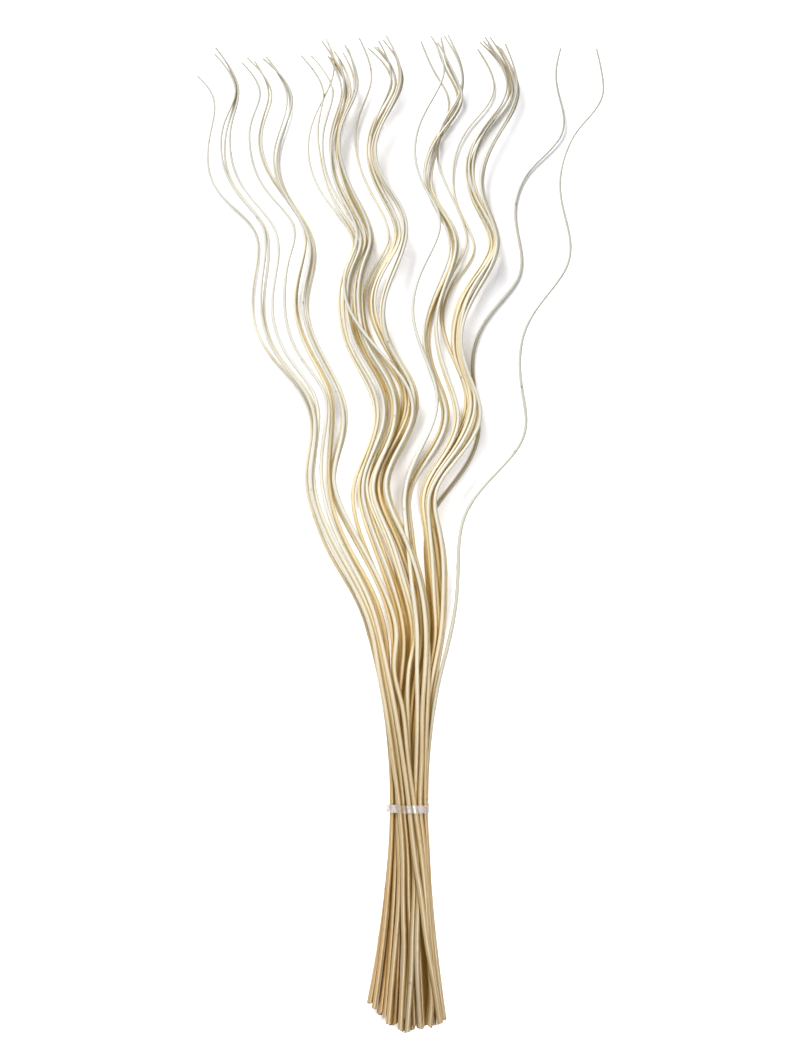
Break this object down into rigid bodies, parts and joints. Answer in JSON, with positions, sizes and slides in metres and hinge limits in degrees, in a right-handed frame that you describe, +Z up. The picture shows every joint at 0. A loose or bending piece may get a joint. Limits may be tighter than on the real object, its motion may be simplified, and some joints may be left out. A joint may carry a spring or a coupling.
{
  "type": "curly willow stem bunch",
  "caption": "Tied bunch of long, thin, wavy peeled willow stems, fanned out above a band of clear tape and lying flat on a surface.",
  "frame": {"origin": "middle of the flat underside of the tape tie, where it rests on the surface", "axes": "+Y along the bunch from the tie to the tips, +X to the right seen from above, +Z up from the surface"},
  "size_m": [0.4074, 0.9976, 0.0462],
  "materials": {
    "peeled_willow": "peeled and dried, satin, pale straw with golden shade",
    "clear_tape": "clear glossy tape, a little wrinkled"
  },
  "bodies": {
    "root": {"stem_01": "peeled_willow", "stem_02": "peeled_willow", "stem_03": "peeled_willow", "stem_04": "peeled_willow", "stem_05": "peeled_willow", "stem_06": "peeled_willow", "stem_07": "peeled_willow", "stem_08": "peeled_willow", "stem_09": "peeled_willow", "stem_10": "peeled_willow", "stem_11": "peeled_willow", "stem_12": "peeled_willow", "stem_13": "peeled_willow", "stem_14": "peeled_willow", "stem_15": "peeled_willow", "stem_16": "peeled_willow", "stem_17": "peeled_willow", "stem_18": "peeled_willow", "stem_19": "peeled_willow", "stem_20": "peeled_willow", "stem_21": "peeled_willow", "stem_22": "peeled_willow", "stem_23": "peeled_willow", "stem_24": "peeled_willow", "stem_25": "peeled_willow", "stem_26": "peeled_willow", "stem_27": "peeled_willow", "stem_28": "peeled_willow", "stem_29": "peeled_willow", "stem_30": "peeled_willow", "stem_31": "peeled_willow", "stem_32": "peeled_willow", "stem_33": "peeled_willow", "stem_34": "peeled_willow", "stem_35": "peeled_willow", "stem_36": "peeled_willow", "stem_37": "peeled_willow", "stem_38": "peeled_willow", "stem_39": "peeled_willow", "stem_40": "peeled_willow", "stem_41": "peeled_willow", "stem_42": "peeled_willow", "stem_43": "peeled_willow", "stem_44": "peeled_willow", "stem_45": "peeled_willow", "stem_46": "peeled_willow", "stem_47": "peeled_willow", "stem_48": "peeled_willow", "tape_tie": "clear_tape"}
  },
  "joints": []
}
